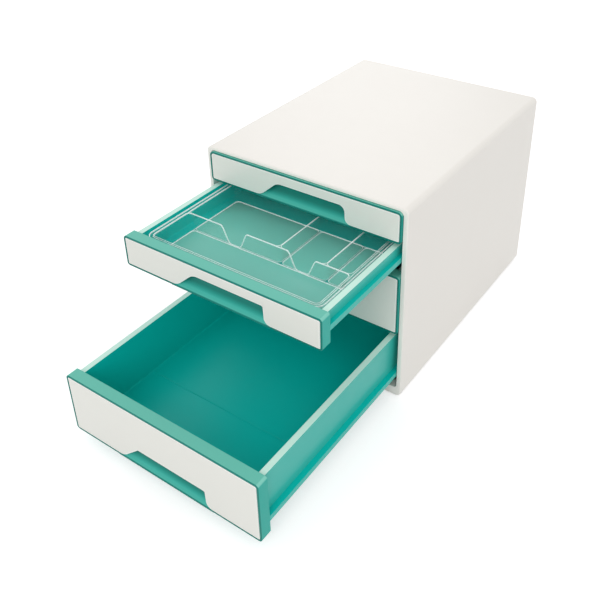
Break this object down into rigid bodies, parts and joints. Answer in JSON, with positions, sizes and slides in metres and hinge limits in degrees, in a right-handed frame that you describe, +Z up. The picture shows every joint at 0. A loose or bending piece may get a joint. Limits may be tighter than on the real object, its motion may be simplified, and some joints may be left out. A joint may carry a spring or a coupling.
{
  "type": "desktop drawer cabinet",
  "caption": "Desktop cabinet with shallow and deep sliding drawers, wave-shaped finger recesses in their white fronts and a clear organiser insert with a pen channel.",
  "frame": {"origin": "centre of the casing's footprint, on the surface that the feet stand on", "axes": "+Z up, the drawers open towards -Y, +X to the right of somebody behind the cabinet's fronts looking along +Y"},
  "size_m": [0.287, 0.627, 0.27],
  "materials": {
    "casing_white": "smooth satin gloss",
    "fascia_white": "smooth satin gloss",
    "front_teal": "satin gloss",
    "tray_teal": "satin gloss",
    "runner_white": "matte",
    "insert_clear": "clear, polished",
    "foot_rubber": "matte rubber"
  },
  "bodies": {
    "casing": {"casing_shell": "casing_white", "rear_panel": "casing_white", "runner_panel_left": "runner_white", "runner_panel_right": "runner_white", "foot_front_left": "foot_rubber", "foot_front_right": "foot_rubber", "foot_rear_left": "foot_rubber", "foot_rear_right": "foot_rubber"},
    "drawer_1": {"drawer_1_tray": "tray_teal", "drawer_1_front": "front_teal", "drawer_1_fascia": "fascia_white"},
    "drawer_2": {"drawer_2_tray": "tray_teal", "drawer_2_front": "front_teal", "drawer_2_fascia": "fascia_white", "organiser_insert": "insert_clear"},
    "drawer_3": {"drawer_3_tray": "tray_teal", "drawer_3_front": "front_teal", "drawer_3_fascia": "fascia_white"},
    "drawer_4": {"drawer_4_tray": "tray_teal", "drawer_4_front": "front_teal", "drawer_4_fascia": "fascia_white"}
  },
  "joints": [
    {"name": "drawer_1_slide", "type": "slide", "parent": "casing", "child": "drawer_1", "axis": [0, -1, 0], "range_m": [0, 0.27]},
    {"name": "drawer_2_slide", "type": "slide", "parent": "casing", "child": "drawer_2", "axis": [0, -1, 0], "range_m": [-0.152, 0.118]},
    {"name": "drawer_3_slide", "type": "slide", "parent": "casing", "child": "drawer_3", "axis": [0, -1, 0], "range_m": [0, 0.27]},
    {"name": "drawer_4_slide", "type": "slide", "parent": "casing", "child": "drawer_4", "axis": [0, -1, 0], "range_m": [-0.261, 0.009]}
  ]
}
